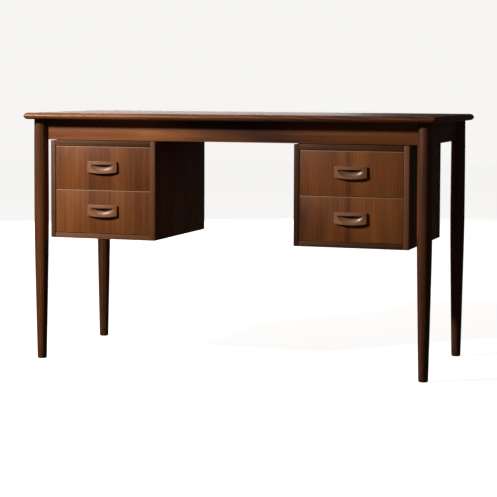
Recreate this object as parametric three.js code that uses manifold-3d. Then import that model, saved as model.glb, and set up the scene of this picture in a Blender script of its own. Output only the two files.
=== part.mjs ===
// A writing desk: a thin top on a frame of four round legs and four aprons, with two cases of two
// drawers hung beneath it, and a kneehole between them.
// Millimetres. +X is to the sitter's right, +Y is away from the sitter and +Z is up. The origin is on
// the floor, under the middle of the top.
import * as THREE from "three";
import { mergeVertices } from "three/addons/utils/BufferGeometryUtils.js";
import Module from "manifold-3d";

const wasm = await Module();
wasm.setup();

// ---- Driving dimensions ----

const JOINT_GAP = 0.3; // left between pieces that are glued, screwed or laid on each other

const DESK_WIDTH = 1240;
const DESK_DEPTH = 540;
const DESK_HEIGHT = 730;

const TOP_THICKNESS = 19;
const TOP_CORNER_RADIUS = 12;
const TOP_EDGE_ROUND = 7.5; // on the upper and the lower arris
const ARC_STEPS = 4;

const LEG_INSET_X = 41; // from the end of the top to the leg's axis
const LEG_INSET_Y = 45; // from the long edge of the top to the leg's axis
const LEG_RADIUS = 21.5;
const LEG_HEAD_RADIUS = 20.9; // where the leg meets the top
const FOOT_RADIUS = 13.8;
const FOOT_CHAMFER = 3;
const TAPER_HEIGHT = 385; // from the floor to where the taper starts
const LEG_SIDES = 32;

const APRON_HEIGHT = 59.5;
const APRON_THICKNESS = 17;
const APRON_OUTSET = 2.5; // from the plane of two legs' axes out to the apron's face

const TENON_THICKNESS = 9;
const TENON_SHOULDER = 6; // above and below the tenon
const TENON_ROOT = 8; // how far the tenon's block runs back into its apron
const TENON_WALL = 1.5; // between the two tenons that meet in a leg

const BLOCK_LEG = 27; // the glue block's length along each apron
const BLOCK_HEIGHT = 42;
const BLOCK_CLEARANCE = 3; // from the glue block to the leg

const CASE_WIDTH = 330;
const CASE_DEPTH = 409;
const CASE_HEIGHT = 286;
const CASE_PANEL = 15;
const CASE_BACK = 6;
const CASE_BACK_INSET = 2;
const CASE_DROP = 1.5; // from the apron's lower edge down to the case
const CASE_TO_LEG_AXIS = 40; // sideways, from the case's outer side
const CASE_PROUD = 19.5; // from the front legs' axes forward to the case's front edges

const BEARER_WIDTH = 22;
const BEARER_INSET = 13; // from the case's side to the middle of the bearer

const DRAWER_LEVELS = ["lower", "upper"]; // in each case, from its bottom panel up
const FRONT_THICKNESS = 18;
const FRONT_RECESS = 2; // behind the case's front edges
const FRONT_REVEAL = 1.5; // round and between the drawer fronts
const DRAWER_SIDE = 12;
const DRAWER_SIDE_HEIGHT = 100;
const DRAWER_SIDE_RISE = 8; // from the front's lower edge up to the side's lower edge
const DRAWER_BACK_THICKNESS = 12;
const DRAWER_REAR_GAP = 6; // from the closed drawer to the case's back
const DRAWER_SIDE_GAP = 3; // from the drawer's side to the case's side
const BOTTOM_THICKNESS = 5;
const BOTTOM_RISE = 8; // from the side's lower edge up to the bottom panel
const BOTTOM_GROOVE = 5; // how deep the bottom panel's groove is

const RUNNER_HEIGHT = 14;
const RUNNER_THICKNESS = 9;
const RUNNER_END_GAP = 4; // behind the drawer front, and ahead of the case's back
const RUNNER_CLEARANCE = 0.5; // above and below the runner, and at its edge

const PULL_WIDTH = 94;
const PULL_HEIGHT = 31; // at its ends
const PULL_BOW = 4; // how far the lower edge bows down in the middle
const PULL_PROJECTION = 10;
const PULL_RISE = 4; // from the middle of the drawer front up to the middle of the pull's ends
const PULL_RIM_SIDE = 10; // from the pull's end to the hollow
const PULL_RIM_TOP = 8;
const HOLLOW_HEIGHT = 16;
const HOLLOW_DEPTH = 8;
const CURVE_STEPS = 8;

// ---- Places that follow from them ----

const legX = DESK_WIDTH / 2 - LEG_INSET_X;
const legY = DESK_DEPTH / 2 - LEG_INSET_Y;
const topUnderside = DESK_HEIGHT - TOP_THICKNESS;
const frameTop = topUnderside - JOINT_GAP;
const apronBottom = frameTop - APRON_HEIGHT;
const apronInner = APRON_THICKNESS - APRON_OUTSET; // from the legs' axes in to the apron's inner face
const apronMiddle = APRON_THICKNESS / 2 - APRON_OUTSET; // and to the middle of its thickness
const tenonEnd = apronMiddle + TENON_THICKNESS / 2 + TENON_WALL; // from the leg's axis

const caseTop = apronBottom - CASE_DROP;
const caseBottom = caseTop - CASE_HEIGHT;
const caseFront = -legY - CASE_PROUD;
const caseBack = caseFront + CASE_DEPTH;
const caseX = legX - CASE_TO_LEG_AXIS - CASE_WIDTH / 2;
const openingWidth = CASE_WIDTH - 2 * CASE_PANEL;
const openingHeight = CASE_HEIGHT - 2 * CASE_PANEL;
const caseBackFace = caseBack - CASE_BACK_INSET - CASE_BACK;

const frontFace = caseFront + FRONT_RECESS;
const frontBack = frontFace + FRONT_THICKNESS;
const frontWidth = openingWidth - 2 * FRONT_REVEAL;
const frontHeight = (openingHeight - FRONT_REVEAL) / DRAWER_LEVELS.length - FRONT_REVEAL;
const boxWidth = openingWidth - 2 * DRAWER_SIDE_GAP;
const boxFront = frontBack + JOINT_GAP;
const boxBack = caseBackFace - DRAWER_REAR_GAP;
const innerWidth = boxWidth - 2 * DRAWER_SIDE;
const runnerGroove = RUNNER_THICKNESS - DRAWER_SIDE_GAP + RUNNER_CLEARANCE;

const group = new THREE.Group();

// ---- Solids ----

// A closed manifold-3d solid of a three.js geometry.
function solid(geometry) {
  const bare = geometry.clone();
  bare.deleteAttribute("normal");
  bare.deleteAttribute("uv");
  const merged = mergeVertices(bare, 1e-4);
  return new wasm.Manifold(
    new wasm.Mesh({
      numProp: 3,
      vertProperties: new Float32Array(merged.attributes.position.array),
      triVerts: new Uint32Array(merged.index.array),
    }),
  );
}

function geometryOf(cutSolid) {
  const mesh = cutSolid.getMesh();
  const geometry = new THREE.BufferGeometry();
  geometry.setAttribute("position", new THREE.BufferAttribute(new Float32Array(mesh.vertProperties), 3));
  geometry.setIndex(new THREE.BufferAttribute(new Uint32Array(mesh.triVerts), 1));
  geometry.computeVertexNormals();
  return geometry;
}

// A box from its lowest corner to its highest.
function block([x0, y0, z0], [x1, y1, z1]) {
  const geometry = new THREE.BoxGeometry(x1 - x0, y1 - y0, z1 - z0);
  return geometry.translate((x0 + x1) / 2, (y0 + y1) / 2, (z0 + z1) / 2);
}

function cut(geometry, ...cutters) {
  return geometryOf(cutters.reduce((whole, cutter) => whole.subtract(solid(cutter)), solid(geometry)));
}

function join(geometry, ...additions) {
  return geometryOf(additions.reduce((whole, addition) => whole.add(solid(addition)), solid(geometry)));
}

const walnut = () => new THREE.MeshStandardMaterial({ color: 0x74422a, roughness: 0.45, metalness: 0 });
const darkWalnut = () => new THREE.MeshStandardMaterial({ color: 0x4a2818, roughness: 0.5, metalness: 0 });
const paleWood = () => new THREE.MeshStandardMaterial({ color: 0xb08a5c, roughness: 0.65, metalness: 0 });
const plywood = () => new THREE.MeshStandardMaterial({ color: 0xa67c50, roughness: 0.7, metalness: 0 });

function addPiece(parent, name, geometry, material) {
  const mesh = new THREE.Mesh(geometry, material);
  mesh.name = name;
  parent.add(mesh);
  return mesh;
}

// ---- Top ----

function roundedRectangle(width, depth, radius) {
  const [x, y] = [width / 2, depth / 2];
  const shape = new THREE.Shape();
  shape.absarc(x - radius, -y + radius, radius, -Math.PI / 2, 0);
  shape.absarc(x - radius, y - radius, radius, 0, Math.PI / 2);
  shape.absarc(-x + radius, y - radius, radius, Math.PI / 2, Math.PI);
  shape.absarc(-x + radius, -y + radius, radius, Math.PI, Math.PI * 1.5);
  shape.closePath();
  return shape;
}

function tabletop() {
  const inset = 2 * TOP_EDGE_ROUND;
  const cornerRadius = TOP_CORNER_RADIUS - TOP_EDGE_ROUND;
  const outline = roundedRectangle(DESK_WIDTH - inset, DESK_DEPTH - inset, cornerRadius);
  const geometry = new THREE.ExtrudeGeometry(outline, {
    depth: TOP_THICKNESS - inset,
    bevelThickness: TOP_EDGE_ROUND,
    bevelSize: TOP_EDGE_ROUND,
    bevelSegments: ARC_STEPS,
    curveSegments: ARC_STEPS,
  });
  return geometry.translate(0, 0, topUnderside + TOP_EDGE_ROUND);
}

// ---- Legs, aprons and glue blocks ----
// A leg's own frame has its origin on the floor under its axis, and its two aprons run from it along
// +X and +Y. An apron's own frame has the axes of its two legs at x = -span and x = span, and faces -Y.

function turnedLeg(extra = 0) {
  const profile = [
    [0, 0],
    [FOOT_RADIUS - FOOT_CHAMFER + extra, 0],
    [FOOT_RADIUS + extra, FOOT_CHAMFER],
    [LEG_RADIUS + extra, TAPER_HEIGHT],
    [LEG_RADIUS + extra, apronBottom],
    [LEG_HEAD_RADIUS + extra, frameTop + extra],
    [0, frameTop + extra],
  ].map(([radius, height]) => new THREE.Vector2(radius, height));
  return new THREE.LatheGeometry(profile, LEG_SIDES).rotateX(Math.PI / 2);
}

const tenonLow = apronBottom + TENON_SHOULDER;
const tenonHigh = frameTop - TENON_SHOULDER;

// The mortises for the two aprons, each a tenon's size and JOINT_GAP more all round.
function mortisedLeg() {
  const [near, far] = [tenonEnd - JOINT_GAP, LEG_RADIUS + TENON_ROOT];
  const [low, high] = [tenonLow - JOINT_GAP, tenonHigh + JOINT_GAP];
  const half = TENON_THICKNESS / 2 + JOINT_GAP;
  const [inner, outer] = [apronMiddle - half, apronMiddle + half];
  const alongX = block([near, inner, low], [far, outer, high]);
  const alongY = block([inner, near, low], [outer, far, high]);
  return cut(turnedLeg(), alongX, alongY);
}

// A board whose ends are hollowed to the round legs, with a tenon at each end.
function apron(span) {
  const legs = [-span, span].map((x) => turnedLeg(JOINT_GAP).translate(x, 0, 0));
  const board = cut(block([-span, -APRON_OUTSET, apronBottom], [span, apronInner, frameTop]), ...legs);
  const half = TENON_THICKNESS / 2;
  const [root, end] = [span - LEG_RADIUS - TENON_ROOT, span - tenonEnd];
  return join(
    board,
    block([root, apronMiddle - half, tenonLow], [end, apronMiddle + half, tenonHigh]),
    block([-end, apronMiddle - half, tenonLow], [-root, apronMiddle + half, tenonHigh]),
  );
}

// A block glued into the corner of two aprons, cut off square to the leg.
function glueBlock() {
  const corner = apronInner + JOINT_GAP;
  const cutBack = Math.SQRT2 * (LEG_RADIUS + BLOCK_CLEARANCE) - 2 * corner;
  const outline = [
    [cutBack, 0],
    [BLOCK_LEG, 0],
    [0, BLOCK_LEG],
    [0, cutBack],
  ].map(([x, y]) => new THREE.Vector2(corner + x, corner + y));
  const geometry = new THREE.ExtrudeGeometry(new THREE.Shape(outline), {
    depth: BLOCK_HEIGHT,
    bevelEnabled: false,
  });
  return geometry.translate(0, 0, frameTop - BLOCK_HEIGHT);
}

function buildFrame() {
  addPiece(group, "tabletop", tabletop(), walnut());

  const quarter = Math.PI / 2;
  const corners = [
    ["front_left", -legX, -legY, 0],
    ["front_right", legX, -legY, quarter],
    ["back_right", legX, legY, 2 * quarter],
    ["back_left", -legX, legY, -quarter],
  ];
  for (const [where, x, y, turn] of corners) {
    const corner = new THREE.Group();
    corner.position.set(x, y, 0);
    corner.rotation.z = turn;
    addPiece(corner, `leg_${where}`, mortisedLeg(), darkWalnut());
    addPiece(corner, `glue_block_${where}`, glueBlock(), paleWood());
    group.add(corner);
  }

  const aprons = [
    ["front", legX, 0, -legY, 0],
    ["right", legY, legX, 0, quarter],
    ["back", legX, 0, legY, 2 * quarter],
    ["left", legY, -legX, 0, -quarter],
  ];
  for (const [where, span, x, y, turn] of aprons) {
    const board = addPiece(group, `apron_${where}`, apron(span), walnut());
    board.position.set(x, y, 0);
    board.rotation.z = turn;
  }
}

// ---- Cases ----
// A case's own frame has x = 0 at its middle, and side is -1 for the left case and 1 for the right.

// A box from x = near out to x = far, on the side of x = 0 that sign gives.
function mirroredBlock(sign, near, far, [y0, z0], [y1, z1]) {
  return block([Math.min(sign * near, sign * far), y0, z0], [Math.max(sign * near, sign * far), y1, z1]);
}

// Two bearers run from the front apron to the back apron, and the case is screwed up to them.
function bearer(sign) {
  const middle = CASE_WIDTH / 2 - BEARER_INSET;
  const reach = legY - apronInner - JOINT_GAP;
  return mirroredBlock(
    sign,
    middle - BEARER_WIDTH / 2,
    middle + BEARER_WIDTH / 2,
    [-reach, caseTop + JOINT_GAP],
    [reach, frameTop],
  );
}

function caseSide(sign) {
  return mirroredBlock(sign, openingWidth / 2, CASE_WIDTH / 2, [caseFront, caseBottom], [caseBack, caseTop]);
}

// The top and bottom panels fit between the sides.
function casePanel(bottom) {
  const reach = openingWidth / 2 - JOINT_GAP;
  return block([-reach, caseFront, bottom], [reach, caseBack, bottom + CASE_PANEL]);
}

// A thin panel between the sides, the top and the bottom, let in from behind.
function caseBackPanel() {
  const reach = openingWidth / 2 - JOINT_GAP;
  return block(
    [-reach, caseBackFace, caseBottom + CASE_PANEL + JOINT_GAP],
    [reach, caseBackFace + CASE_BACK, caseTop - CASE_PANEL - JOINT_GAP],
  );
}

const drawerBottom = (level) => caseBottom + CASE_PANEL + FRONT_REVEAL + level * (frontHeight + FRONT_REVEAL);

// A strip on the case's side, which the drawer hangs on by the groove in its own side.
function runner(sign, level) {
  const middle = drawerBottom(level) + frontHeight / 2;
  return mirroredBlock(
    sign,
    openingWidth / 2 - RUNNER_THICKNESS,
    openingWidth / 2 - JOINT_GAP,
    [frontBack + RUNNER_END_GAP, middle - RUNNER_HEIGHT / 2],
    [caseBackFace - RUNNER_END_GAP, middle + RUNNER_HEIGHT / 2],
  );
}

function buildCase(place, side) {
  const box = new THREE.Group();
  box.position.x = side * caseX;
  addPiece(box, `${place}_case_top`, casePanel(caseTop - CASE_PANEL), walnut());
  addPiece(box, `${place}_case_bottom`, casePanel(caseBottom), walnut());
  addPiece(box, `${place}_case_back`, caseBackPanel(), plywood());
  for (const [where, sign] of [
    ["outer", side],
    ["inner", -side],
  ]) {
    addPiece(box, `${place}_case_side_${where}`, caseSide(sign), walnut());
    addPiece(box, `${place}_bearer_${where}`, bearer(sign), paleWood());
    DRAWER_LEVELS.forEach((name, level) => {
      addPiece(box, `${place}_${name}_runner_${where}`, runner(sign, level), paleWood());
    });
  }
  DRAWER_LEVELS.forEach((name, level) => {
    const drawer = buildDrawer(`${place}_${name}_drawer`);
    drawer.position.z = drawerBottom(level);
    box.add(drawer);
  });
  group.add(box);
}

// ---- Drawers ----
// A drawer's own frame has z = 0 at the lower edge of its front, and x = 0 at its middle.

const bottomLow = DRAWER_SIDE_RISE + BOTTOM_RISE;
const bottomHigh = bottomLow + BOTTOM_THICKNESS;
const sideHigh = DRAWER_SIDE_RISE + DRAWER_SIDE_HEIGHT;
const grooveReach = innerWidth / 2 + BOTTOM_GROOVE;

function drawerFront() {
  const board = block([-frontWidth / 2, frontFace, 0], [frontWidth / 2, frontBack, frontHeight]);
  const groove = block(
    [-grooveReach, frontBack - BOTTOM_GROOVE, bottomLow - JOINT_GAP],
    [grooveReach, boxFront, bottomHigh + JOINT_GAP],
  );
  return cut(board, groove);
}

// The outer face is grooved for the runner and the inner face for the bottom, both right through.
function drawerSide(sign) {
  const board = mirroredBlock(
    sign,
    innerWidth / 2,
    boxWidth / 2,
    [boxFront, DRAWER_SIDE_RISE],
    [boxBack, sideHigh],
  );
  const half = RUNNER_HEIGHT / 2 + RUNNER_CLEARANCE;
  const past = CASE_PANEL;
  const runnerWay = mirroredBlock(
    sign,
    boxWidth / 2 - runnerGroove,
    boxWidth / 2 + past,
    [boxFront - past, frontHeight / 2 - half],
    [boxBack + past, frontHeight / 2 + half],
  );
  const bottomWay = mirroredBlock(
    sign,
    innerWidth / 2 - past,
    grooveReach,
    [boxFront - past, bottomLow - JOINT_GAP],
    [boxBack + past, bottomHigh + JOINT_GAP],
  );
  return cut(board, runnerWay, bottomWay);
}

// The back stands on the bottom panel, between the sides.
function drawerBack() {
  const reach = innerWidth / 2 - JOINT_GAP;
  return block(
    [-reach, boxBack - DRAWER_BACK_THICKNESS, bottomHigh + JOINT_GAP],
    [reach, boxBack, sideHigh],
  );
}

function drawerBase() {
  const reach = grooveReach - JOINT_GAP;
  return block([-reach, frontBack - BOTTOM_GROOVE + JOINT_GAP, bottomLow], [reach, boxBack, bottomHigh]);
}

// A carved block with straight ends and a bowed lower edge, and a boat-shaped hollow for the fingers.
// Its outline is drawn in X and Y, with y = 0 at the lower corners, and then stood up to face -Y.
function pull() {
  const half = PULL_WIDTH / 2;
  const outline = new THREE.Shape();
  outline.moveTo(-half, 0);
  outline.quadraticCurveTo(0, -2 * PULL_BOW, half, 0);
  outline.lineTo(half, PULL_HEIGHT);
  outline.lineTo(-half, PULL_HEIGHT);
  outline.closePath();

  const reach = half - PULL_RIM_SIDE;
  const rimLow = PULL_HEIGHT - PULL_RIM_TOP;
  const hollow = new THREE.Shape();
  hollow.absellipse(0, rimLow, reach, HOLLOW_HEIGHT, Math.PI, 2 * Math.PI);
  hollow.closePath();

  const body = new THREE.ExtrudeGeometry(outline, {
    depth: PULL_PROJECTION - JOINT_GAP,
    bevelEnabled: false,
    curveSegments: CURVE_STEPS,
  });
  const scoop = new THREE.ExtrudeGeometry(hollow, {
    depth: PULL_PROJECTION,
    bevelEnabled: false,
    curveSegments: CURVE_STEPS,
  });
  const floor = PULL_PROJECTION - JOINT_GAP - HOLLOW_DEPTH;
  const carved = cut(body, scoop.translate(0, 0, floor));
  const low = frontHeight / 2 + PULL_RISE - PULL_HEIGHT / 2;
  return carved.rotateX(Math.PI / 2).translate(0, frontFace - JOINT_GAP, low);
}

function buildDrawer(name) {
  const drawer = new THREE.Group();
  addPiece(drawer, `${name}_front`, drawerFront(), walnut());
  addPiece(drawer, `${name}_side_left`, drawerSide(-1), paleWood());
  addPiece(drawer, `${name}_side_right`, drawerSide(1), paleWood());
  addPiece(drawer, `${name}_back`, drawerBack(), paleWood());
  addPiece(drawer, `${name}_bottom`, drawerBase(), plywood());
  addPiece(drawer, `${name}_pull`, pull(), darkWalnut());
  return drawer;
}

buildFrame();
buildCase("left", -1);
buildCase("right", 1);

export default group;
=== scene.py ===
import math

import bpy
from mathutils import Euler, Matrix, Vector


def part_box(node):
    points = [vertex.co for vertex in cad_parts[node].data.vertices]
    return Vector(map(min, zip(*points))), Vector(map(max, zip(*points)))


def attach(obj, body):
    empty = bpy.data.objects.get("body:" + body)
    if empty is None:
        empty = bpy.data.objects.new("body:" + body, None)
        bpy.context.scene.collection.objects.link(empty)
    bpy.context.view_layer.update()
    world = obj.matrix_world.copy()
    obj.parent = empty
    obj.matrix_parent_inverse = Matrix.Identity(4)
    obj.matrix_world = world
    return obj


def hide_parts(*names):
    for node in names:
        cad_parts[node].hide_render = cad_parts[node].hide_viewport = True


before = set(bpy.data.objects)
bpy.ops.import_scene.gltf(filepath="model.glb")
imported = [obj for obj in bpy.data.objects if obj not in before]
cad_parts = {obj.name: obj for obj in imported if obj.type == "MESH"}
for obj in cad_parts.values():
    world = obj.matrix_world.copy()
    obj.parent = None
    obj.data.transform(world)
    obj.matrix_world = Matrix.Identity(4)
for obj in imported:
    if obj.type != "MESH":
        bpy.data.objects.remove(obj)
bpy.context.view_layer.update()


# ---------------------------------------------------------------- The top
# A veneered board with a rounded edge all round, laid on the frame with its grain running the length
# of the desk. It is oiled. A painted highlight runs along its arrises, stronger towards the lamp at the
# left, and painted shade darkens the board towards its right end.


class Reading:
    """A number that varies over a surface. Arithmetic on it adds Math nodes to its finish."""

    def __init__(self, finish, socket):
        self.finish = finish
        self.socket = socket

    def math(self, operation, *values):
        sockets = {place: value for place, value in enumerate(values)}
        node = self.finish.node("ShaderNodeMath", {"operation": operation}, sockets)
        return Reading(self.finish, node.outputs[0])

    def __add__(self, other):
        return self.math("ADD", self, other)

    def __sub__(self, other):
        return self.math("SUBTRACT", self, other)

    def __rsub__(self, other):
        return self.math("SUBTRACT", other, self)

    def __mul__(self, other):
        return self.math("MULTIPLY", self, other)

    def __truediv__(self, other):
        return self.math("DIVIDE", self, other)

    def __pow__(self, power):
        return self.math("POWER", self, power)

    def __abs__(self):
        return self.math("ABSOLUTE", self)

    def greater(self, other):
        return self.math("MAXIMUM", self, other)

    def lesser(self, other):
        return self.math("MINIMUM", self, other)

    def wave(self):
        """From 0 to 1 and back, once for each whole number."""
        return self.math("SINE", self * math.tau) * 0.5 + 0.5

    def ramp(self, low, high, bottom=0.0, top=1.0):
        """Rises smoothly from bottom to top as the reading goes from low to high."""
        inputs = {"Value": self, "From Min": low, "From Max": high, "To Min": bottom, "To Max": top}
        settings = {"interpolation_type": "SMOOTHSTEP"}
        return Reading(self.finish, self.finish.node("ShaderNodeMapRange", settings, inputs).outputs[0])


class Finish:
    """A material whose nodes are added one at a time behind a single Principled surface."""

    def __init__(self, name):
        self.material = bpy.data.materials.new(name)
        self.material.use_nodes = True
        self.tree = self.material.node_tree
        self.surface = self.tree.nodes["Principled BSDF"]

    def node(self, kind, settings=None, inputs=None):
        made = self.tree.nodes.new(kind)
        for setting, value in (settings or {}).items():
            if setting == "stops":
                self.set_stops(made.color_ramp, value)
            else:
                setattr(made, setting, value)
        for place, value in (inputs or {}).items():
            self.feed(made.inputs[place], value)
        return made

    def set_stops(self, ramp, stops):
        while len(ramp.elements) < len(stops):
            ramp.elements.new(1.0)
        for element, (position, colour) in zip(ramp.elements, stops):
            element.position = position
            element.color = (*colour, 1.0)

    def feed(self, socket, value):
        if isinstance(value, Reading):
            value = value.socket
        if isinstance(value, bpy.types.NodeSocket):
            self.tree.links.new(value, socket)
        else:
            socket.default_value = value

    def places(self):
        """How far along X, Y and Z each point of the desk is, in metres."""
        coordinates = self.node("ShaderNodeTexCoord").outputs["Object"]
        split = self.node("ShaderNodeSeparateXYZ", inputs={0: coordinates})
        return [Reading(self, output) for output in split.outputs]

    def noise(self, x, y, z, detail=3.0, roughness=0.5):
        vector = self.node("ShaderNodeCombineXYZ", inputs={0: x, 1: y, 2: z}).outputs[0]
        inputs = {"Vector": vector, "Scale": 1.0, "Detail": detail, "Roughness": roughness}
        return Reading(self, self.node("ShaderNodeTexNoise", inputs=inputs).outputs[0])

    def coloured(self, value, stops):
        return self.node("ShaderNodeValToRGB", {"stops": stops}, {0: value}).outputs[0]

    def blend(self, amount, first, second):
        inputs = {0: amount, 6: first, 7: second}
        return self.node("ShaderNodeMix", {"data_type": "RGBA"}, inputs).outputs[2]

    def dress(self, colour, roughness, height, depth, gloss=0.5):
        bump = self.node("ShaderNodeBump", inputs={"Height": height, "Distance": depth, "Strength": 0.6})
        self.feed(self.surface.inputs["Base Color"], colour)
        self.feed(self.surface.inputs["Roughness"], roughness)
        self.feed(self.surface.inputs["Specular IOR Level"], gloss)
        self.feed(self.surface.inputs["Normal"], bump.outputs[0])
        return self.material


WALNUT = [
    (0.0, (0.030, 0.0085, 0.0030)),
    (0.3, (0.100, 0.029, 0.0075)),
    (0.55, (0.225, 0.068, 0.0155)),
    (0.8, (0.350, 0.116, 0.028)),
    (1.0, (0.480, 0.180, 0.050)),
]


PORE_DEPTH = 0.0003


class Grain:
    """Wood as it is cut from a log: rings round a heart that lies off the board and leans along it."""

    def __init__(
        self, finish, across, through, along, heart, lean=0.02, ring=0.009, figure=0.2, fine=60.0, seed=0.0
    ):
        self.finish = finish
        self.across = across
        self.along = along
        wander = finish.noise(across * 5.0, through * 5.0, along * 1.6 + seed, detail=2.0) - 0.5
        sideways = across - heart[0] + wander * 0.05
        depth = through + heart[1] + along * lean + wander * 0.03
        radius = (sideways * sideways + depth * depth) ** 0.5
        rings = (radius / ring + wander * 1.5).wave()
        streaks = finish.noise(across * fine, through * fine, along * 1.8 + seed, detail=4.0, roughness=0.6)
        clouds = finish.noise(across * 14.0, through * 14.0, along * 2.5 + seed, detail=2.0)
        self.fibre = finish.noise(across * 900.0, through * 900.0, along * 22.0, detail=2.0)
        specks = finish.noise(across * 1900.0, through * 1900.0, along * 70.0, detail=0.0)
        self.pores = specks.ramp(0.66, 0.78)
        self.tone = rings * figure + streaks * 0.75 + clouds * 0.55 + self.fibre * 0.22 - 0.36

    def colour(self, stops=WALNUT, shift=0.0):
        tone = self.tone + shift - self.pores * 0.11
        return self.finish.coloured(tone, stops)

    def roughness(self, base):
        return self.fibre * 0.18 + self.pores * 0.15 + base

    def height(self):
        return self.fibre * 0.4 - self.pores * 0.9


def edge_nearness(x, y, z, box, width):
    """1 on the arrises of a box and 0 from width away, by the second nearest of its three pairs of faces."""
    low, high = box
    spans = []
    for reading, lowest, highest in zip((x, y, z), low, high):
        middle, half = (lowest + highest) / 2, (highest - lowest) / 2
        spans.append(half - abs(reading - middle))
    nearer = spans[0].lesser(spans[1])
    further = spans[0].greater(spans[1])
    second = nearer.greater(further.lesser(spans[2]))
    return second.ramp(width, 0.0)


def board_between(name, low, high):
    """A cube primitive set to its size and place."""
    bpy.ops.object.select_all(action="DESELECT")
    middle = (Vector(low) + Vector(high)) / 2
    bpy.ops.mesh.primitive_cube_add(size=1.0, location=middle)
    board = bpy.context.object
    board.name = name
    board.scale = Vector(high) - Vector(low)
    bpy.ops.object.transform_apply(location=True, rotation=True, scale=True)
    return board


ARRIS_ANGLE = 0.6  # in radians; shallower edges are left as they are


def apply_modifier(piece, kind, **settings):
    modifier = piece.modifiers.new(kind.title(), kind)
    for setting, value in settings.items():
        setattr(modifier, setting, value)
    bpy.ops.object.select_all(action="DESELECT")
    piece.select_set(True)
    bpy.context.view_layer.objects.active = piece
    bpy.ops.object.modifier_apply(modifier=modifier.name)


def ease_edges(piece, width, segments=2):
    apply_modifier(
        piece, "BEVEL", width=width, segments=segments, limit_method="ANGLE", angle_limit=ARRIS_ANGLE
    )
    bpy.ops.object.shade_smooth_by_angle(angle=math.radians(32))


TOP_CORNER = 0.012  # radius of the corners in plan
TOP_EDGE = 0.0075  # radius of the edge's rounding
TOP_HIGHLIGHT_REACH = 0.010  # how far the painted highlight reaches in from an arris
TOP_ARRIS_HIGHLIGHT = (0.42, 0.21, 0.11, 1.0)


def model_top():
    low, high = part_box("tabletop")
    top = board_between("desk_top", low, high)
    bpy.ops.object.mode_set(mode="EDIT")
    bpy.ops.mesh.select_all(action="DESELECT")
    bpy.ops.object.mode_set(mode="OBJECT")
    for edge in top.data.edges:
        one_end, other_end = (top.data.vertices[i].co.z for i in edge.vertices)
        edge.select = abs(one_end - other_end) > (high.z - low.z) / 2
    bpy.ops.object.mode_set(mode="EDIT")
    bpy.ops.mesh.select_mode(type="EDGE")
    bpy.ops.mesh.bevel(offset=TOP_CORNER, segments=8)
    bpy.ops.object.mode_set(mode="OBJECT")
    ease_edges(top, TOP_EDGE, segments=7)
    return top


def top_finish(box):
    finish = Finish("walnut_top")
    x, y, z = finish.places()
    grain = Grain(finish, abs(y), z, x, heart=(0.07, 0.05), lean=0.05, ring=0.010, seed=3.1)
    patches = finish.noise(x * 9.0, y * 30.0, z * 60.0, detail=3.0).ramp(0.3, 0.7, 0.4, 1.0)
    # painted highlight along the top's arrises, patchy and strongest towards the lamp at the left
    painted_top_highlight = edge_nearness(x, y, z, box, TOP_HIGHLIGHT_REACH) * patches * x.ramp(0.45, -0.35, 0.10, 0.60)
    # painted light: a little paler near the left end, nearest the lamp, and painted shade darkening the
    # board towards its right end
    painted_light_falloff = abs(x + 0.28).ramp(0.35, 0.0) * 0.10 - x.ramp(-0.1, 0.5) * 0.20
    colour = finish.blend(painted_top_highlight, grain.colour(shift=painted_light_falloff + 0.08), TOP_ARRIS_HIGHLIGHT)
    return finish.dress(colour, grain.roughness(0.34), grain.height(), PORE_DEPTH)


top = model_top()
top.data.materials.append(top_finish(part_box("tabletop")))
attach(top, "desk")
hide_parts("tabletop")


# ---------------------------------------------------------------- The legs
# Four turned legs of solid walnut. Each is nearly even down to its middle, and then tapers to a small
# foot with its arris taken off. The aprons are tenoned into it near its head.

LEG_CORNERS = ["front_left", "front_right", "back_left", "back_right"]
LEG_SIDES = 64
SCUFF_HEIGHT = 0.09  # how far up the scuffs on a foot reach
SCUFFED_FOOT = (0.23, 0.13, 0.08, 1.0)
LEG_STATIONS = [  # height above the floor, as a share of the leg's, and radius as a share of the widest
    (0.0, 0.545),
    (0.0008, 0.58),
    (0.0030, 0.625),
    (0.0060, 0.645),
    (0.14, 0.735),
    (0.28, 0.830),
    (0.42, 0.922),
    (0.50, 0.968),
    (0.56, 0.990),
    (0.64, 1.0),
    (0.80, 1.0),
    (0.90, 0.990),
    (1.0, 0.965),
]


def model_leg(corner):
    low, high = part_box(f"leg_{corner}")
    radius = (high.x - low.x) / 2
    height = high.z - low.z
    axis = Vector(((low.x + high.x) / 2, (low.y + high.y) / 2, low.z))
    bpy.ops.object.select_all(action="DESELECT")
    first_share = LEG_STATIONS[0][1]
    bpy.ops.mesh.primitive_circle_add(
        vertices=LEG_SIDES, radius=radius * first_share, fill_type="NGON", location=axis, enter_editmode=True
    )
    leg = bpy.context.object
    leg.name = f"turned_leg_{corner}"
    bpy.ops.mesh.select_all(action="SELECT")
    for (below, inner), (above, outer) in zip(LEG_STATIONS, LEG_STATIONS[1:]):
        rise = Vector((0, 0, (above - below) * height))
        bpy.ops.mesh.extrude_region_move(TRANSFORM_OT_translate={"value": rise})
        growth = outer / inner
        centre = axis + Vector((0, 0, above * height))
        bpy.ops.transform.resize(value=(growth, growth, 1.0), center_override=centre)
    bpy.ops.mesh.select_all(action="SELECT")
    bpy.ops.mesh.normals_make_consistent(inside=False)
    bpy.ops.object.mode_set(mode="OBJECT")
    bpy.ops.object.transform_apply(location=True, rotation=True, scale=True)
    bpy.ops.object.shade_smooth_by_angle(angle=math.radians(40))
    return leg


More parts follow.
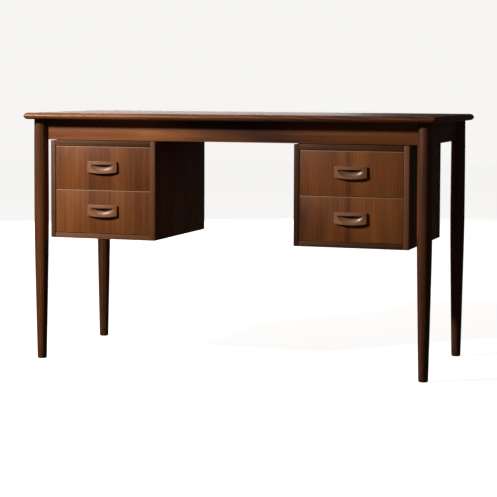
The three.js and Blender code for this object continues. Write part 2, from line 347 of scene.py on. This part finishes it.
def leg_finish():
    finish = Finish("walnut_leg")
    x, y, z = finish.places()
    grain = Grain(finish, x, y, z, heart=(0.3, 0.4), lean=0.02, ring=0.006, seed=7.7)
    patches = finish.noise(x * 90.0, y * 90.0, z * 40.0, detail=3.0).ramp(0.4, 0.75)
    scuffed = z.ramp(SCUFF_HEIGHT, 0.0) * patches
    colour = finish.blend(scuffed * 0.5, grain.colour(shift=-0.17), SCUFFED_FOOT)
    return finish.dress(colour, grain.roughness(0.30), grain.height(), PORE_DEPTH, gloss=0.6)


leg_walnut = leg_finish()
for corner in LEG_CORNERS:
    leg = model_leg(corner)
    leg.data.materials.append(leg_walnut)
    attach(leg, "desk")
    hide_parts(f"leg_{corner}")


# ---------------------------------------------------------------- The aprons
# Four veneered rails that join the legs under the top, with their grain along them. Their arrises are
# eased, and a painted highlight runs along each as a fine paler line.

RAIL_ARRIS = 0.0012
RAIL_HIGHLIGHT_REACH = 0.0030  # how far the painted highlight along an arris reaches
RAIL_ARRIS_HIGHLIGHT = (0.45, 0.21, 0.10, 1.0)


def apron_finish(side, box):
    finish = Finish(f"walnut_rail_{side}")
    x, y, z = finish.places()
    length, through = (x, y) if side in ("front", "back") else (y, x)
    grain = Grain(finish, z, through, length, heart=(0.70, 0.02), lean=0.015, ring=0.011, seed=len(side))
    # darker through the rail's middle, and painted shade that darkens it along its length away from the lamp
    darker_middle_and_painted_falloff = abs(length - 0.02).ramp(0.29, 0.05) * 0.42 + length.ramp(-0.2, 0.5) * 0.14
    # painted highlight: a fine paler line along every arris of the rail
    painted_rail_highlight = edge_nearness(x, y, z, box, RAIL_HIGHLIGHT_REACH)
    colour = finish.blend(painted_rail_highlight * 0.45, grain.colour(shift=0.24 - darker_middle_and_painted_falloff), RAIL_ARRIS_HIGHLIGHT)
    return finish.dress(colour, grain.roughness(0.36), grain.height(), PORE_DEPTH)


for side in ("front", "back", "left", "right"):
    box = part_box(f"apron_{side}")
    rail = board_between(f"rail_{side}", *box)
    ease_edges(rail, RAIL_ARRIS, segments=3)
    rail.data.materials.append(apron_finish(side, box))
    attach(rail, "desk")
    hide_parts(f"apron_{side}")


# ---------------------------------------------------------------- Glue blocks and bearers
# Rough-sawn beech that is never seen from the front: a block glued into each corner of the frame, and
# the bearers between the front and back rails that the cases are screwed to.

BEECH = [
    (0.0, (0.26, 0.15, 0.075)),
    (0.45, (0.42, 0.27, 0.145)),
    (1.0, (0.58, 0.41, 0.25)),
]
BEECH_FLECK = (0.33, 0.19, 0.10, 1.0)


def beech_finish(name, across, through, along):
    finish = Finish(name)
    places = dict(zip("xyz", finish.places()))
    across, through, along = places[across], places[through], places[along]
    grain = Grain(finish, across, through, along, heart=(0.5, 0.3), lean=0.03, ring=0.004)
    flecks = finish.noise(across * 700.0, through * 700.0, along * 160.0, detail=0.0).ramp(0.62, 0.74)
    colour = finish.blend(flecks * 0.35, grain.colour(BEECH, 0.12), BEECH_FLECK)
    return finish.dress(colour, grain.roughness(0.52), grain.height(), 0.0004, gloss=0.35)


def clothe_node(node, material):
    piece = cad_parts[node]
    piece.data.materials.clear()
    piece.data.materials.append(material)


beech_along_y = beech_finish("beech_along_y", "x", "z", "y")
beech_along_x = beech_finish("beech_along_x", "z", "y", "x")
for corner in LEG_CORNERS:
    clothe_node(f"glue_block_{corner}", beech_along_x)
for place in ("left", "right"):
    for where in ("outer", "inner"):
        clothe_node(f"{place}_bearer_{where}", beech_along_y)


# ---------------------------------------------------------------- The cases
# Two boxes of veneered board hung under the rails. Their sides run full height with the top and the
# bottom held between them, and every front edge has a strip of solid walnut glued on.

CASE_ARRIS = 0.0007
LIP_WALNUT = [
    (0.0, (0.034, 0.012, 0.005)),
    (0.4, (0.090, 0.034, 0.014)),
    (0.7, (0.180, 0.070, 0.030)),
    (1.0, (0.300, 0.125, 0.055)),
]
LIP_TONES_WITH_PAINTED_LIGHT = {  # each strip is paler or, below 0, darker than its wood's middle tone, set to how bright it looks in the light: partly the wood's own tone, partly painted light and shade
    "left": {"side_outer": 0.06, "side_inner": 0.12, "top": 0.08, "bottom": 0.38},
    "right": {"side_outer": 0.40, "side_inner": -0.12, "top": 0.00, "bottom": -0.12},
}
CASE_NODES = {
    "side_outer": ("y", "x", "z"),
    "side_inner": ("y", "x", "z"),
    "top": ("y", "z", "x"),
    "bottom": ("y", "z", "x"),
    "back": ("x", "y", "z"),
}


def case_veneer(name, directions, seed):
    finish = Finish(name)
    places = dict(zip("xyz", finish.places()))
    across, through, along = (places[axis] for axis in directions)
    grain = Grain(finish, across, through, along, heart=(0.04, 0.09), lean=0.10, ring=0.010, seed=seed)
    return finish.dress(grain.colour(), grain.roughness(0.38), grain.height(), PORE_DEPTH)


def lipping(name, across, along, tone, seed):
    finish = Finish(name)
    places = dict(zip("xyz", finish.places()))
    across, through, along = places[across], places["y"], places[along]
    grain = Grain(finish, across, through, along, heart=(0.9, 0.2), ring=0.005, seed=seed)
    colour = grain.colour(LIP_WALNUT, tone)
    return finish.dress(colour, grain.roughness(0.45), grain.height(), PORE_DEPTH, gloss=0.25)


def face_front_with(piece, material):
    piece.data.materials.append(material)
    for face in piece.data.polygons:
        if face.normal.y < -0.5:
            face.material_index = 1


for place in ("left", "right"):
    for seed, (part, directions) in enumerate(CASE_NODES.items()):
        node = f"{place}_case_{part}"
        panel = board_between(f"{place}_{part}_panel", *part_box(node))
        ease_edges(panel, CASE_ARRIS)
        panel.data.materials.append(case_veneer(f"walnut_{node}", directions, seed * 1.7 + len(place)))
        if part != "back":
            across, along = ("x", "z") if part.startswith("side") else ("z", "x")
            # a tone for each strip, partly the wood's own and partly painted light and shade
            tone = LIP_TONES_WITH_PAINTED_LIGHT[place][part]
            face_front_with(panel, lipping(f"walnut_lipping_{place}_{part}", across, along, tone, seed))
        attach(panel, "desk")
        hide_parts(node)


# ---------------------------------------------------------------- Screws in the cases' backs
# Brass wood screws with low slotted heads. Four go up each upright edge of a back panel, and hold it to
# its case.

SCREW_RADIUS = 0.0034
SCREW_PROUD = 0.0006
SCREW_SLOT = 0.0009
SCREW_ARRIS = 0.00025
SCREW_TURN = 7.3  # radians from one screw's slot to the next, so that no two stand alike
SCREW_INSET = 0.010  # from the panel's upright edges
SCREW_HEIGHTS = (0.06, 0.36, 0.64, 0.94)  # up the panel, as a share of its height


def model_screw(place, turn):
    bpy.ops.object.select_all(action="DESELECT")
    bpy.ops.mesh.primitive_cylinder_add(
        vertices=28, radius=SCREW_RADIUS, depth=2 * SCREW_PROUD, rotation=(math.pi / 2, 0, 0)
    )
    screw = bpy.context.object
    bpy.ops.object.transform_apply(rotation=True)
    reach = (SCREW_RADIUS * 2, SCREW_PROUD, SCREW_SLOT)
    slot = board_between("slot", [-value / 2 for value in reach], [value / 2 for value in reach])
    slot.location = (0, SCREW_PROUD, 0)
    slot.rotation_euler = (0, turn, 0)
    bpy.context.view_layer.update()
    apply_modifier(screw, "BOOLEAN", object=slot, operation="DIFFERENCE", solver="EXACT")
    bpy.data.objects.remove(slot)
    apply_modifier(
        screw, "BEVEL", width=SCREW_ARRIS, segments=2, limit_method="ANGLE", angle_limit=ARRIS_ANGLE
    )
    screw.location = place
    bpy.ops.object.transform_apply(location=True)
    bpy.ops.object.shade_smooth_by_angle(angle=math.radians(35))
    return screw


def brass_finish():
    finish = Finish("aged_brass")
    x, y, z = finish.places()
    stain = finish.noise(x * 500.0, y * 500.0, z * 500.0, detail=4.0)
    colour = finish.coloured(stain, [(0.3, (0.16, 0.09, 0.035)), (0.7, (0.58, 0.40, 0.17))])
    finish.surface.inputs["Metallic"].default_value = 1.0
    return finish.dress(colour, stain * 0.3 + 0.22, stain, 0.0001)


aged_brass = brass_finish()
for place in ("left", "right"):
    low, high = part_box(f"{place}_case_back")
    screws = []
    for upright in (low.x + SCREW_INSET, high.x - SCREW_INSET):
        for share in SCREW_HEIGHTS:
            centre = (upright, high.y, low.z + share * (high.z - low.z))
            screws.append(model_screw(centre, turn=SCREW_TURN * len(screws)))
    bpy.ops.object.select_all(action="DESELECT")
    for screw in screws:
        screw.select_set(True)
    bpy.context.view_layer.objects.active = screws[0]
    bpy.ops.object.join()
    bpy.context.object.name = f"{place}_back_screws"
    screws[0].data.materials.append(aged_brass)
    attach(screws[0], "desk")


# ---------------------------------------------------------------- The runners
# Strips of beech screwed to the insides of the cases' sides, two to each drawer. The grooves in the
# drawer's sides hang on them, and years of sliding have polished and darkened them.


POLISHED_RUNNER = (0.20, 0.12, 0.06, 1.0)


def runner_finish():
    finish = Finish("beech_runner")
    x, y, z = finish.places()
    grain = Grain(finish, z, x, y, heart=(0.5, 0.3), lean=0.02, ring=0.004, seed=5.2)
    rubbed = finish.noise(x * 200.0, y * 6.0, z * 200.0, detail=2.0).ramp(0.35, 0.65)
    colour = finish.blend(rubbed * 0.3, grain.colour(BEECH, 0.05), POLISHED_RUNNER)
    return finish.dress(colour, grain.roughness(0.34) + rubbed * 0.1, grain.height(), 0.0002)


beech_runner = runner_finish()
for place in ("left", "right"):
    for level in ("lower", "upper"):
        for where in ("outer", "inner"):
            clothe_node(f"{place}_{level}_runner_{where}", beech_runner)


# ---------------------------------------------------------------- The drawer fronts
# Upright walnut veneer that runs unbroken from the upper drawer to the lower one, lipped with a thin
# strip of paler wood round the edge. The right-hand case's leaves are book-matched down its middle.

FRONT_ARRIS = 0.0008
LIP_SHOWN = 0.0022  # how wide the lipping looks along the edges
LIP_BLUR = 0.0006  # how softly it ends along the upper edge
PALE_LIPPING_AND_HIGHLIGHT = (0.50, 0.27, 0.15, 1.0)
DRAWERS_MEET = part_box("left_upper_drawer_front")[0].z


def front_finish(place, level, box):
    finish = Finish(f"walnut_{place}_{level}_front")
    x, y, z = finish.places()
    low, high = box
    middle = (low.x + high.x) / 2
    if place == "left":
        leaf = x - middle
        grain = Grain(finish, leaf, y, z, heart=(0.30, 0.29), ring=0.016, figure=0.06, fine=26.0, seed=11.3)
        dark = abs(leaf + 0.008).ramp(0.060, 0.004) * 0.14 + leaf.ramp(-0.06, 0.10) * 0.06
        tone = 0.16 - dark + (z - DRAWERS_MEET).ramp(0.10, -0.12) * 0.06
    else:
        leaf = abs(x - middle - 0.004)
        grain = Grain(finish, leaf, y, z, heart=(0.26, 0.27), lean=-0.08, figure=0.08, fine=26.0, seed=19.6)
        dark = abs(x - middle + 0.008).ramp(0.012, 0.003) * 0.20
        lower_left = (z - DRAWERS_MEET).ramp(0.04, -0.06) * (x - middle).ramp(0.0, -0.12)
        tone = (x - middle).ramp(-0.02, 0.03, 0.11, 0.22) - dark - lower_left * 0.20
    # paler lipping round the edge; along the upper edge the line is drawn stronger, a painted highlight
    # where the light from above falls on it
    upper_lip_highlight = (z - high.z + LIP_SHOWN).ramp(-LIP_BLUR, LIP_BLUR) * 0.8
    lipping_and_highlight = upper_lip_highlight.greater(edge_nearness(x, y, z, box, LIP_SHOWN) * 0.45)
    colour = finish.blend(lipping_and_highlight, grain.colour(shift=tone), PALE_LIPPING_AND_HIGHLIGHT)
    return finish.dress(colour, grain.roughness(0.38), grain.height(), 0.0002, gloss=0.35)


DRAWERS = [(place, level) for place in ("left", "right") for level in ("upper", "lower")]

for place, level in DRAWERS:
    drawer = f"{place}_{level}_drawer"
    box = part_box(f"{drawer}_front")
    front = board_between(f"{drawer}_panel", *box)
    ease_edges(front, FRONT_ARRIS, segments=3)
    front.data.materials.append(front_finish(place, level, box))
    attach(front, drawer)
    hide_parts(f"{drawer}_front")


# ---------------------------------------------------------------- The drawer boxes
# Beech sides and back behind each front. The sides are grooved outside for the runners and inside for
# the plywood bottom.


def plywood_finish():
    finish = Finish("birch_plywood")
    x, y, z = finish.places()
    grain = Grain(finish, y, z, x, heart=(0.1, 0.05), lean=0.10, ring=0.016, seed=2.2)
    plies = (z * 900.0).wave() * 0.10
    roughness = grain.roughness(0.50) + plies
    return finish.dress(grain.colour(BEECH, 0.22), roughness, grain.height(), PORE_DEPTH)


birch_plywood = plywood_finish()
for place, level in DRAWERS:
    drawer = f"{place}_{level}_drawer"
    clothe_node(f"{drawer}_side_left", beech_along_y)
    clothe_node(f"{drawer}_side_right", beech_along_y)
    clothe_node(f"{drawer}_back", beech_along_x)
    clothe_node(f"{drawer}_bottom", birch_plywood)


# ---------------------------------------------------------------- The pulls
# Each is carved from a block of solid walnut: its face swells towards a bowed lower lip, and a
# boat-shaped hollow is gouged behind the lip for the fingers. It is screwed on from inside the drawer.

PULL_SWELL = 0.240  # radius of the face in plan
PULL_LEAN = 0.04  # how far the face leans out towards the lip, in radians
PULL_BOW = 0.276  # radius of the lower edge
PULL_ARRIS = 0.0018
HOLLOW_HALF_WIDTH = 0.0375
HOLLOW_DROP = 0.0205  # from the hollow's straight upper edge to its lowest point
HOLLOW_DEPTH = 0.0091
HOLLOW_BELOW_TOP = 0.0092
HOLLOW_SET_BACK = 0.0004
HOLLOW_LEAN = 0.06  # how far its ceiling rises towards the back, in radians
PULL_VOXEL = 0.0005
TOOL_SIDES = 512


def model_pull(name, low, high):
    depth = high.y - low.y
    height = high.z - low.z
    middle = (low.x + high.x) / 2
    pull = board_between(name, low, high)

    back = PULL_SWELL * math.cos(PULL_LEAN)
    up = PULL_SWELL * math.sin(PULL_LEAN)
    bpy.ops.object.select_all(action="DESELECT")
    bpy.ops.mesh.primitive_cylinder_add(
        vertices=TOOL_SIDES,
        radius=PULL_SWELL,
        depth=height * 8,
        rotation=(-PULL_LEAN, 0, 0),
        location=(middle, low.y + back, low.z + up),
    )
    swell = bpy.context.object

    bpy.ops.object.select_all(action="DESELECT")
    bpy.ops.mesh.primitive_cylinder_add(
        vertices=TOOL_SIDES,
        radius=PULL_BOW,
        depth=depth * 4,
        rotation=(math.pi / 2, 0, 0),
        location=(middle, (low.y + high.y) / 2, low.z + PULL_BOW),
    )
    bow = bpy.context.object

    bpy.ops.object.select_all(action="DESELECT")
    bpy.ops.mesh.primitive_uv_sphere_add(segments=96, ring_count=64, radius=1.0)
    gouge = bpy.context.object
    bpy.ops.object.mode_set(mode="EDIT")
    bpy.ops.mesh.select_all(action="SELECT")
    bpy.ops.mesh.bisect(plane_co=(0, 0, 0), plane_no=(0, 0, 1), use_fill=True, clear_outer=True)
    bpy.ops.object.mode_set(mode="OBJECT")
    gouge.scale = (HOLLOW_HALF_WIDTH, HOLLOW_DEPTH, HOLLOW_DROP)
    gouge.rotation_euler = (HOLLOW_LEAN, 0, 0)
    gouge.location = (middle, low.y + HOLLOW_SET_BACK, high.z - HOLLOW_BELOW_TOP)
    bpy.context.view_layer.update()

    for tool in (swell, bow):
        apply_modifier(pull, "BOOLEAN", object=tool, operation="INTERSECT", solver="EXACT")
        bpy.data.objects.remove(tool)
    apply_modifier(pull, "BEVEL", width=PULL_ARRIS, segments=4, limit_method="ANGLE", angle_limit=0.8)
    apply_modifier(pull, "BOOLEAN", object=gouge, operation="DIFFERENCE", solver="EXACT")
    bpy.data.objects.remove(gouge)
    apply_modifier(pull, "REMESH", mode="VOXEL", voxel_size=PULL_VOXEL)
    apply_modifier(pull, "SMOOTH", factor=0.5, iterations=3)
    bpy.ops.object.shade_smooth()
    return pull


PULL_WALNUT = [
    (0.0, (0.130, 0.050, 0.022)),
    (0.4, (0.270, 0.110, 0.050)),
    (0.7, (0.400, 0.180, 0.088)),
    (1.0, (0.540, 0.280, 0.150)),
]
HANDLED_WALNUT = (0.50, 0.26, 0.14, 1.0)
HOLLOW_SHADE = (0.045, 0.020, 0.012, 1.0)


def pull_finish(name, box):
    finish = Finish(f"walnut_{name}")
    x, y, z = finish.places()
    low, high = box
    grain = Grain(finish, z, y, x, heart=(0.02, 0.26), lean=0.06, ring=0.0035, seed=len(name))
    depth = y - low.y
    patches = finish.noise(x * 60.0, y * 60.0, z * 60.0).ramp(0.3, 0.7, 0.5, 1.0)
    handled = depth.ramp(0.005, 0.0) * patches
    # painted shade: darker deep in the finger hollow and at the back, where the pull meets the drawer front
    painted_hollow_shade = depth.ramp(0.0060, 0.0095)
    colour = finish.blend(handled * 0.35, grain.colour(PULL_WALNUT, 0.05), HANDLED_WALNUT)
    colour = finish.blend(painted_hollow_shade * 0.6, colour, HOLLOW_SHADE)
    return finish.dress(colour, grain.roughness(0.24) + painted_hollow_shade * 0.3, grain.height(), 0.00005, gloss=0.7)


for place, level in DRAWERS:
    drawer = f"{place}_{level}_drawer"
    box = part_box(f"{drawer}_pull")
    pull = model_pull(f"{drawer}_carved_pull", *box)
    pull.data.materials.append(pull_finish(f"{drawer}_pull", box))
    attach(pull, drawer)
    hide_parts(f"{drawer}_pull")


# ---------------------------------------------------------------- The studio
# A pale round floor and backdrop that glow by themselves, a small strong lamp high in front at the left,
# a broad weak one behind the desk at the left, and a long-lensed camera in front, at the right.

STUDIO_REACH = 12.0
STUDIO_HEIGHT = 12.0
STUDIO_BELOW = 0.0005  # how far the floor lies under the feet
STUDIO_GLOW = 0.88
SURROUNDING_LIGHT = 0.032


def studio_finish():
    finish = Finish("pale_studio")
    x, y, z = finish.places()
    mottle = finish.noise(x * 1.5, y * 1.5, z * 1.5, detail=2.0)
    colour = finish.coloured(mottle, [(0.3, (0.80, 0.795, 0.785)), (0.7, (0.83, 0.825, 0.815))])
    finish.surface.inputs["Emission Color"].default_value = (1.0, 0.995, 0.985, 1.0)
    finish.surface.inputs["Emission Strength"].default_value = STUDIO_GLOW
    return finish.dress(colour, mottle * 0.1 + 0.8, mottle, 0.0001, gloss=0.1)


def model_studio():
    bpy.ops.object.select_all(action="DESELECT")
    middle = (0, 0, STUDIO_HEIGHT / 2 - STUDIO_BELOW)
    bpy.ops.mesh.primitive_cylinder_add(
        vertices=96, radius=STUDIO_REACH, depth=STUDIO_HEIGHT, location=middle
    )
    studio = bpy.context.object
    studio.name = "studio_floor_and_walls"
    bpy.ops.object.mode_set(mode="EDIT")
    bpy.ops.mesh.select_all(action="SELECT")
    bpy.ops.mesh.flip_normals()
    bpy.ops.object.mode_set(mode="OBJECT")
    return studio


studio = model_studio()
studio.data.materials.append(studio_finish())
studio.visible_diffuse = False
studio.visible_glossy = False
studio.visible_shadow = False

surroundings = bpy.data.worlds.new("surroundings")
surroundings.use_nodes = True
bpy.context.scene.world = surroundings
background = surroundings.node_tree.nodes["Background"]
background.inputs["Color"].default_value = (1.0, 0.88, 0.76, 1.0)
background.inputs["Strength"].default_value = SURROUNDING_LIGHT


def add_lamp(name, place, aim, width, height, watts, colour):
    data = bpy.data.lights.new(name, "AREA")
    data.shape = "RECTANGLE"
    data.size = width
    data.size_y = height
    data.energy = watts
    data.color = colour
    lamp = bpy.data.objects.new(name, data)
    bpy.context.collection.objects.link(lamp)
    lamp.location = place
    lamp.rotation_euler = (Vector(aim) - Vector(place)).to_track_quat("-Z", "Y").to_euler()
    lamp.visible_camera = False


add_lamp(
    "window", place=(-1.68, -1.64, 1.76), aim=(0.0, -0.2, 0.5),
    width=0.28, height=0.28, watts=62.0, colour=(1.0, 0.93, 0.86),
)
add_lamp(
    "rear_fill", place=(-2.1, 4.2, 1.4), aim=(0.0, 0.0, 0.7),
    width=2.6, height=2.4, watts=50.0, colour=(1.0, 0.97, 0.94),
)

CAMERA_DIP = math.radians(3.3)
CAMERA_TURN = math.radians(18.425)
CAMERA_ROLL = math.radians(0.238)

camera_data = bpy.data.cameras.new("camera")
camera_data.lens = 115.16
camera_data.sensor_width = 36.0
camera_data.shift_x = -0.0248
camera_data.shift_y = -0.1437
camera = bpy.data.objects.new("camera", camera_data)
bpy.context.collection.objects.link(camera)
camera.location = (1.5238, -4.4818, 0.8128)
gaze = Euler((math.pi / 2 - CAMERA_DIP, 0.0, CAMERA_TURN)).to_matrix()
camera.rotation_euler = (gaze @ Matrix.Rotation(CAMERA_ROLL, 3, "Z")).to_euler()
bpy.context.scene.camera = camera
bpy.context.scene.view_settings.view_transform = "Standard"
